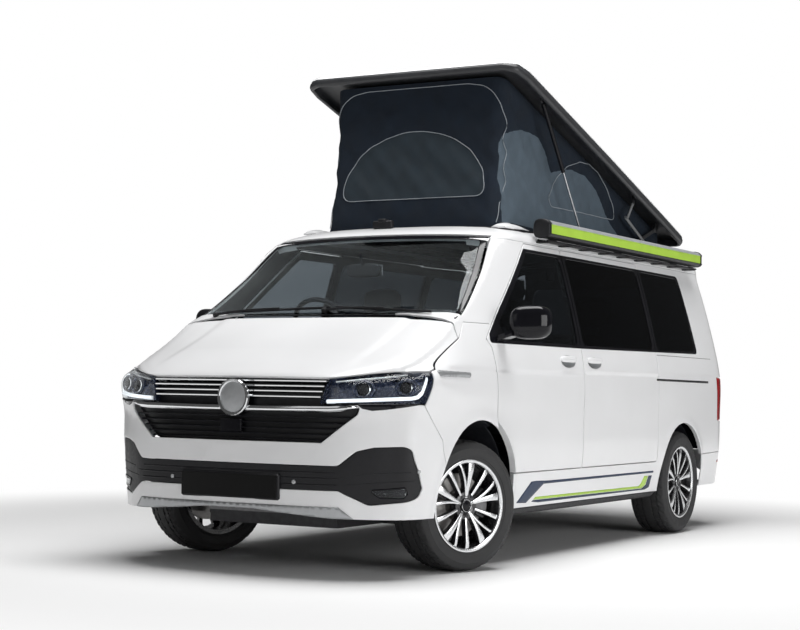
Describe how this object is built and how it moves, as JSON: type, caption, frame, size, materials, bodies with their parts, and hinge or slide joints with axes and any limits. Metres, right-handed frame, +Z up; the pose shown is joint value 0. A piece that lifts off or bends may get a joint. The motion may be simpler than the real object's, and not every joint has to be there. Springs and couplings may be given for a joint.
{
  "type": "camper minivan with raised pop-top roof",
  "caption": "Camper minivan with hinged doors, bonnet and tailgate, steered road wheels, side awning and a pop-top roof shown raised on fabric walls.",
  "frame": {"origin": "on the ground at the middle of the overall length and width", "axes": "+X to the front of the vehicle, +Y to its left side, +Z up"},
  "size_m": [4.904, 2.2948, 2.8511],
  "materials": {
    "white_paint": "gloss",
    "black_plastic": "satin",
    "grille_black": "gloss",
    "lamp_clear": "gloss",
    "lamp_red": "gloss",
    "clear_glass": "gloss",
    "tinted_glass": "gloss",
    "interior_dark": "matte",
    "seat_fabric": "woven",
    "furniture": "satin",
    "dark_steel": "satin",
    "cast_metal": "rough",
    "alloy": "machined",
    "tyre_rubber": "matte",
    "lime_case": "satin",
    "lid_dark": "gloss",
    "canvas": "woven",
    "polished_rod": "gloss"
  },
  "bodies": {
    "body": {"floor_pan": "dark_steel", "roof_panel": "white_paint", "body_side_left": "white_paint", "body_side_right": "white_paint", "fenders": "white_paint", "front_bumper": "white_paint", "bumper_trim": "black_plastic", "grille": "grille_black", "headlamps": "lamp_clear", "windscreen": "clear_glass", "sliding_door": "white_paint", "side_glass": "tinted_glass", "tail_lamps": "lamp_red", "rear_bumper": "white_paint", "dashboard": "interior_dark", "steering_wheel": "interior_dark", "seats": "seat_fabric", "kitchen_unit": "furniture", "engine_block": "cast_metal", "underbody": "dark_steel", "rear_axle": "dark_steel", "hinge_brackets": "dark_steel", "awning": "lime_case", "bellows": "canvas"},
    "front_door_left": {"front_door_left": "white_paint", "door_glass_left": "clear_glass"},
    "front_door_right": {"front_door_right": "white_paint", "door_glass_right": "clear_glass"},
    "bonnet": {"bonnet": "white_paint"},
    "tailgate": {"tailgate": "white_paint", "tailgate_glass": "tinted_glass"},
    "knuckle_left": {"knuckle_left": "cast_metal"},
    "knuckle_right": {"knuckle_right": "cast_metal"},
    "wheel_front_left": {"tyre_front_left": "tyre_rubber", "rim_front_left": "alloy"},
    "wheel_front_right": {"tyre_front_right": "tyre_rubber", "rim_front_right": "alloy"},
    "wheel_rear_left": {"tyre_rear_left": "tyre_rubber", "rim_rear_left": "alloy"},
    "wheel_rear_right": {"tyre_rear_right": "tyre_rubber", "rim_rear_right": "alloy"},
    "poptop_arms": {"poptop_arms": "polished_rod"},
    "poptop_lid": {"poptop_lid": "lid_dark"},
    "lower_links": {"lower_links": "polished_rod"},
    "upper_links": {"upper_links": "polished_rod"},
    "strut_tubes": {"strut_tubes": "lid_dark"},
    "strut_rods": {"strut_rods": "polished_rod"}
  },
  "joints": [
    {"name": "front_door_left", "type": "hinge", "parent": "body", "child": "front_door_left", "pos_m": [1.335, 0.94, 0.93], "axis": [0, 0, -1], "range_deg": [0, 65]},
    {"name": "front_door_right", "type": "hinge", "parent": "body", "child": "front_door_right", "pos_m": [1.335, -0.94, 0.93], "axis": [0, 0, 1], "range_deg": [0, 65]},
    {"name": "bonnet", "type": "hinge", "parent": "body", "child": "bonnet", "pos_m": [1.69, 0, 1.286], "axis": [0, -1, 0], "range_deg": [0, 50]},
    {"name": "tailgate", "type": "hinge", "parent": "body", "child": "tailgate", "pos_m": [-2.292, 0, 1.871], "axis": [0, 1, 0], "range_deg": [0, 85]},
    {"name": "steer_left", "type": "hinge", "parent": "body", "child": "knuckle_left", "pos_m": [1.544, 0.75, 0.343], "axis": [0, 0, 1], "range_deg": [-15, 55]},
    {"name": "steer_right", "type": "hinge", "parent": "body", "child": "knuckle_right", "pos_m": [1.544, -0.75, 0.343], "axis": [0, 0, 1], "range_deg": [-15, 55]},
    {"name": "spin_front_left", "type": "hinge", "parent": "knuckle_left", "child": "wheel_front_left", "pos_m": [1.56589, 0.81014, 0.343], "axis": [0.342, 0.9397, 0], "continuous": true},
    {"name": "spin_front_right", "type": "hinge", "parent": "knuckle_right", "child": "wheel_front_right", "pos_m": [1.52211, -0.81014, 0.343], "axis": [0.342, 0.9397, 0], "continuous": true},
    {"name": "spin_rear_left", "type": "hinge", "parent": "body", "child": "wheel_rear_left", "pos_m": [-1.456, 0.814, 0.343], "axis": [0, 1, 0], "continuous": true},
    {"name": "spin_rear_right", "type": "hinge", "parent": "body", "child": "wheel_rear_right", "pos_m": [-1.456, -0.814, 0.343], "axis": [0, 1, 0], "continuous": true},
    {"name": "poptop_arms", "type": "hinge", "parent": "body", "child": "poptop_arms", "pos_m": [-1.21, 0, 1.905], "axis": [0, 1, 0], "range_deg": [-18.5, 0]},
    {"name": "poptop_lid", "type": "hinge", "parent": "poptop_arms", "child": "poptop_lid", "pos_m": [-1.74675, 0, 2.08459], "axis": [0, -1, 0], "range_deg": [-34.8, 0], "deforming": ["bellows"]},
    {"name": "lower_links", "type": "hinge", "parent": "body", "child": "lower_links", "pos_m": [-1.7, 0, 1.903], "axis": [0, -1, 0], "range_deg": [-20.95, 0]},
    {"name": "upper_links", "type": "hinge", "parent": "poptop_lid", "child": "upper_links", "pos_m": [-1.27321, 0, 2.23244], "axis": [0, -1, 0], "range_deg": [0, 65.92]},
    {"name": "strut_tubes", "type": "hinge", "parent": "poptop_lid", "child": "strut_tubes", "pos_m": [0.23938, 0, 2.68934], "axis": [0, -1, 0], "range_deg": [-33.16, 0]},
    {"name": "strut_rods", "type": "slide", "parent": "strut_tubes", "child": "strut_rods", "axis": [0.6196, 0, 0.7849], "range_m": [0, 0.3211]}
  ],
  "couplings": [
    {"joint": "steer_right", "follows": "steer_left", "ratio": 1},
    {"joint": "poptop_arms", "follows": "poptop_lid", "ratio": 0.5316},
    {"joint": "lower_links", "follows": "poptop_lid", "ratio": 0.602},
    {"joint": "upper_links", "follows": "poptop_lid", "ratio": -1.8942},
    {"joint": "strut_tubes", "follows": "poptop_lid", "ratio": 0.95262},
    {"joint": "strut_rods", "follows": "poptop_lid", "m_per_rad": -0.52833}
  ]
}
